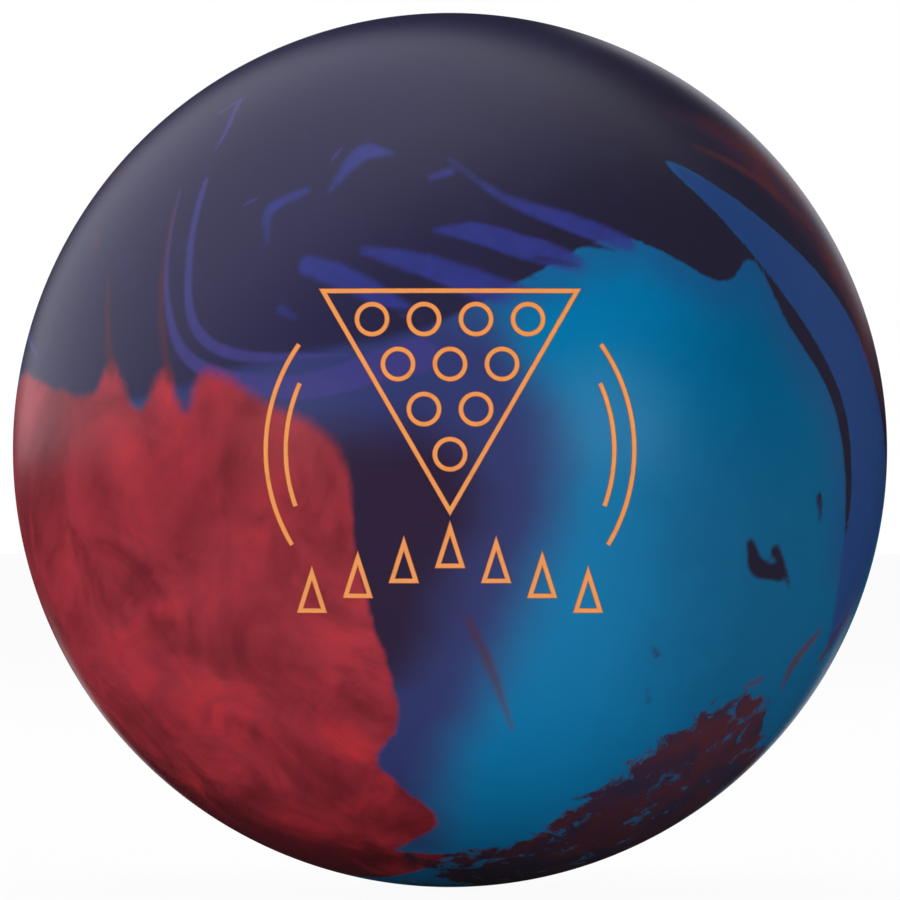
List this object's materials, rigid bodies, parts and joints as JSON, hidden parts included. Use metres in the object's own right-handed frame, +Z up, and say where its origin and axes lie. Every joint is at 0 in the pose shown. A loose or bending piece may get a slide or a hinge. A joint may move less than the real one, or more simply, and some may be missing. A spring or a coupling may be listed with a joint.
{
  "type": "bowling ball",
  "caption": "Drilled ten-pin ball with a swirled resin cover over an off-centre weight block, finger inserts and a thumb sleeve that twists and lifts out.",
  "frame": {"origin": "the ball's centre", "axes": "+Z up, -Y out of the emblem, +X to the right of a person who faces the emblem"},
  "size_m": [0.2172, 0.2172, 0.2172],
  "materials": {
    "cover_resin": "satin polished reactive resin, dark indigo, teal and crimson pearl swirled together",
    "filler": "matt cast filler with fine glass beads",
    "block_resin": "matt moulded resin",
    "dense_resin": "matt filled resin with dark grains",
    "core_pin_plastic": "matt moulded plastic",
    "pin_resin": "polished with the cover",
    "bias_resin": "polished with the cover",
    "dot_paint": "poured enamel",
    "emblem_fill": "poured enamel, a little below the surface",
    "insert_rubber": "soft moulded vinyl with a satin face",
    "sleeve_plastic": "turned plastic",
    "cap_plastic": "moulded plastic",
    "lock_ring_plastic": "slippery moulded acetal",
    "carrier_plastic": "turned plastic",
    "slug_urethane": "hand-finished urethane"
  },
  "bodies": {
    "ball": {"coverstock": "cover_resin", "outer_core": "filler", "weight_block": "block_resin", "weight_block_heart": "dense_resin", "core_pin": "core_pin_plastic", "locator_pin": "pin_resin", "mass_bias_plug": "bias_resin", "balance_dot": "dot_paint", "emblem_deck_frame": "emblem_fill", "emblem_pin_spots": "emblem_fill", "emblem_lane_arrows": "emblem_fill", "emblem_left_arcs": "emblem_fill", "emblem_right_arcs": "emblem_fill", "middle_finger_insert": "insert_rubber", "ring_finger_insert": "insert_rubber", "thumb_outer_sleeve": "sleeve_plastic", "thumb_sleeve_cap": "cap_plastic"},
    "lock_ring": {"thumb_lock_ring": "lock_ring_plastic"},
    "thumb_sleeve": {"thumb_carrier": "carrier_plastic", "thumb_slug": "slug_urethane"}
  },
  "joints": [
    {"name": "lock_twist", "type": "hinge", "parent": "ball", "child": "lock_ring", "pos_m": [-0.02798, 0.03622, 0.01621], "axis": [-0.5272, 0.7674, 0.3649], "range_deg": [0, 45]},
    {"name": "sleeve_lift", "type": "slide", "parent": "lock_ring", "child": "thumb_sleeve", "axis": [-0.5272, 0.7674, 0.3649], "range_m": [0, 0.08]}
  ]
}
